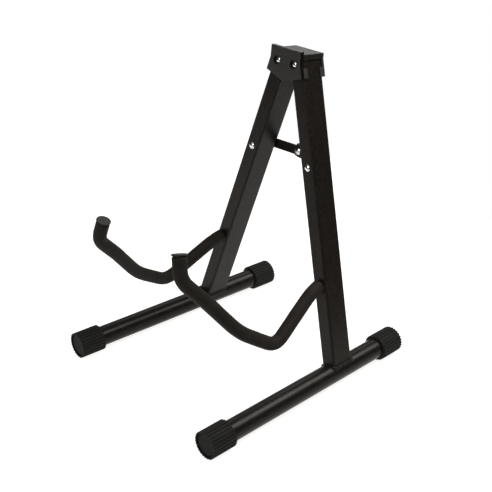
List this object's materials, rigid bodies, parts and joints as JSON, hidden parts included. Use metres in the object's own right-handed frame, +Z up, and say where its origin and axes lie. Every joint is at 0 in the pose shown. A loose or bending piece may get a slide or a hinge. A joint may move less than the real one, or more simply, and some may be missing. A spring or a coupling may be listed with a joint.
{
  "type": "folding guitar stand",
  "caption": "Folding A-frame floor stand with two foam-covered cradle arms, ribbed rubber feet and a folding cross brace.",
  "frame": {"origin": "middle of the open stand's footprint, on the floor", "axes": "+Z up, the cradle arms point to -Y, +X is to the right as seen from the front"},
  "size_m": [0.3032, 0.3278, 0.3985],
  "materials": {
    "frame_coat": "satin black powder coat",
    "brace_coat": "satin black powder coat",
    "head_plastic": "satin moulded black plastic",
    "cap_plastic": "matt moulded black plastic",
    "foot_rubber": "matt black moulded rubber",
    "arm_foam": "matt black closed-cell foam",
    "rivet_steel": "zinc-plated steel",
    "nylon": "natural nylon"
  },
  "bodies": {
    "head": {"hinge_front_cheek": "head_plastic", "hinge_rear_cheek": "head_plastic", "hinge_bridge": "head_plastic", "left_hinge_rivet": "rivet_steel", "right_hinge_rivet": "rivet_steel"},
    "left_leg": {"left_leg_tube": "frame_coat", "left_pivot_bush": "nylon", "left_base_tube": "frame_coat", "left_front_foot": "foot_rubber", "left_rear_foot": "foot_rubber", "left_arm_rod": "frame_coat", "left_arm_foam": "arm_foam", "left_arm_cap": "cap_plastic", "left_brace_rivet": "rivet_steel", "left_brace_spacer": "rivet_steel"},
    "right_leg": {"right_leg_tube": "frame_coat", "right_pivot_bush": "nylon", "right_base_tube": "frame_coat", "right_front_foot": "foot_rubber", "right_rear_foot": "foot_rubber", "right_arm_rod": "frame_coat", "right_arm_foam": "arm_foam", "right_arm_cap": "cap_plastic", "right_brace_rivet": "rivet_steel", "right_brace_spacer": "rivet_steel"},
    "left_link": {"left_brace_link": "brace_coat", "brace_centre_button": "rivet_steel"},
    "right_link": {"right_brace_link": "brace_coat", "brace_centre_rivet": "rivet_steel"}
  },
  "joints": [
    {"name": "right_leg_fold", "type": "hinge", "parent": "head", "child": "right_leg", "pos_m": [0.0141, 0.09563, 0.37938], "axis": [0, 0.9943, -0.1063], "range_deg": [0, 16.6]},
    {"name": "left_leg_fold", "type": "hinge", "parent": "head", "child": "left_leg", "pos_m": [-0.0141, 0.09563, 0.37938], "axis": [0, -0.9943, 0.1063], "range_deg": [0, 16.6]},
    {"name": "right_link_fold", "type": "hinge", "parent": "right_leg", "child": "right_link", "pos_m": [0.05063, 0.08313, 0.26238], "axis": [0, 0.9943, -0.1063], "range_deg": [0, 53.7]},
    {"name": "left_link_fold", "type": "hinge", "parent": "left_leg", "child": "left_link", "pos_m": [-0.05063, 0.08313, 0.26238], "axis": [0, -0.9943, 0.1063], "range_deg": [0, 53.7]}
  ],
  "couplings": [
    {"joint": "left_leg_fold", "follows": "right_leg_fold", "ratio": 1},
    {"joint": "right_link_fold", "follows": "right_leg_fold", "ratio": 3.2126},
    {"joint": "left_link_fold", "follows": "right_leg_fold", "ratio": 3.2126}
  ]
}
